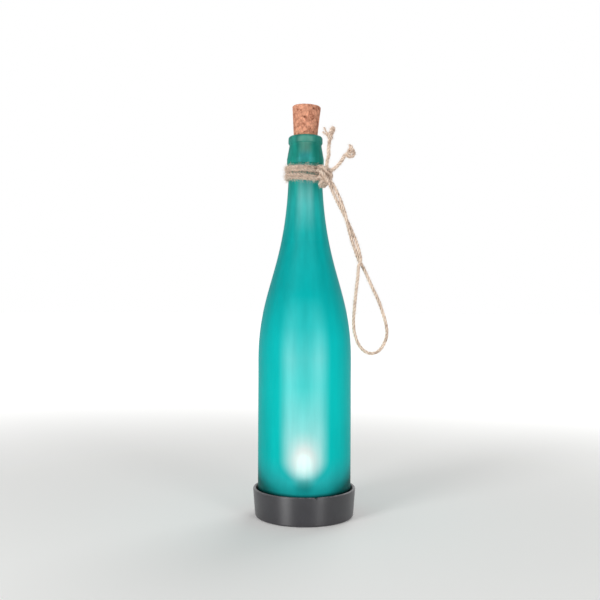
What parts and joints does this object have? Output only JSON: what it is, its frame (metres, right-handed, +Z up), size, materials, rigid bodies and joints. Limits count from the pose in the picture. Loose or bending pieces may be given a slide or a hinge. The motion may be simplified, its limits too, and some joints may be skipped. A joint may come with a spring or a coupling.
{
  "type": "solar bottle lamp",
  "caption": "Frosted glass bottle lamp with a cork, a twine neck wrap and hanging loop, standing over an LED in a solar powered plastic base.",
  "frame": {"origin": "middle of the ring that the base stands on, on the standing surface", "axes": "+Z up along the bottle's axis, -Y the front that the picture shows, +X the side where the twine hangs"},
  "size_m": [0.0987, 0.076, 0.3048],
  "materials": {
    "frosted_glass": "frosted, tinted teal",
    "cork": "pressed cork grains",
    "charcoal_plastic": "satin, fine grain",
    "white_plastic": "satin",
    "black_plastic": "satin",
    "clear_plastic": "clear, polished",
    "milky_plastic": "milky, satin",
    "led_resin": "milky resin",
    "solar_cell": "dark blue cells with fine lines",
    "seal_rubber": "matte",
    "board_green": "lacquered board",
    "coil_green": "lacquered",
    "battery_sleeve": "shrink sleeve",
    "screw_steel": "zinc plated",
    "contact_steel": "nickel plated",
    "red_wire": "soft insulation",
    "black_wire": "soft insulation",
    "jute_twine": "twisted jute, hairy"
  },
  "bodies": {
    "base": {"base_cup": "charcoal_plastic", "bottle_gasket": "seal_rubber", "spigot_o_ring": "seal_rubber", "solar_window": "clear_plastic", "solar_panel": "solar_cell", "tray_cover": "white_plastic", "led_socket": "black_plastic", "led_emitter": "led_resin", "led_diffuser": "milky_plastic", "tray_screw_1": "screw_steel", "tray_screw_2": "screw_steel", "tray_screw_3": "screw_steel", "circuit_board": "board_green", "driver_chip": "black_plastic", "boost_coil": "coil_green", "board_screw_1": "screw_steel", "board_screw_2": "screw_steel", "battery_holder": "black_plastic", "battery_cell": "battery_sleeve", "battery_contact_plus": "contact_steel", "battery_contact_minus": "contact_steel", "battery_spring": "contact_steel", "switch_body": "black_plastic", "panel_wire_minus": "black_wire", "panel_wire_plus": "red_wire", "battery_wire_minus": "black_wire", "battery_wire_plus": "red_wire", "switch_wire_in": "red_wire", "switch_wire_out": "black_wire"},
    "bottle": {"bottle": "frosted_glass", "twine_neck_wrap": "jute_twine", "twine_knot": "jute_twine", "twine_tail_up": "jute_twine", "tail_up_knot": "jute_twine", "twine_tail_side": "jute_twine", "tail_side_knot": "jute_twine"},
    "cork": {"cork_stopper": "cork"},
    "hanging_loop": {"twine_hanging_loop": "jute_twine"},
    "switch": {"switch_knob": "black_plastic"}
  },
  "joints": [
    {"name": "bottle_lift", "type": "slide", "parent": "base", "child": "bottle", "axis": [0, 0, 1], "range_m": [0, 0.045]},
    {"name": "cork_pull", "type": "slide", "parent": "bottle", "child": "cork", "axis": [0, 0, 1], "range_m": [0, 0.03]},
    {"name": "loop_swing", "type": "hinge", "parent": "bottle", "child": "hanging_loop", "pos_m": [0.01603, -0.0171, 0.24785], "axis": [0, -1, 0], "range_deg": [0, 150]},
    {"name": "switch_slide", "type": "slide", "parent": "base", "child": "switch", "axis": [0, 1, 0], "range_m": [0, 0.002]}
  ]
}
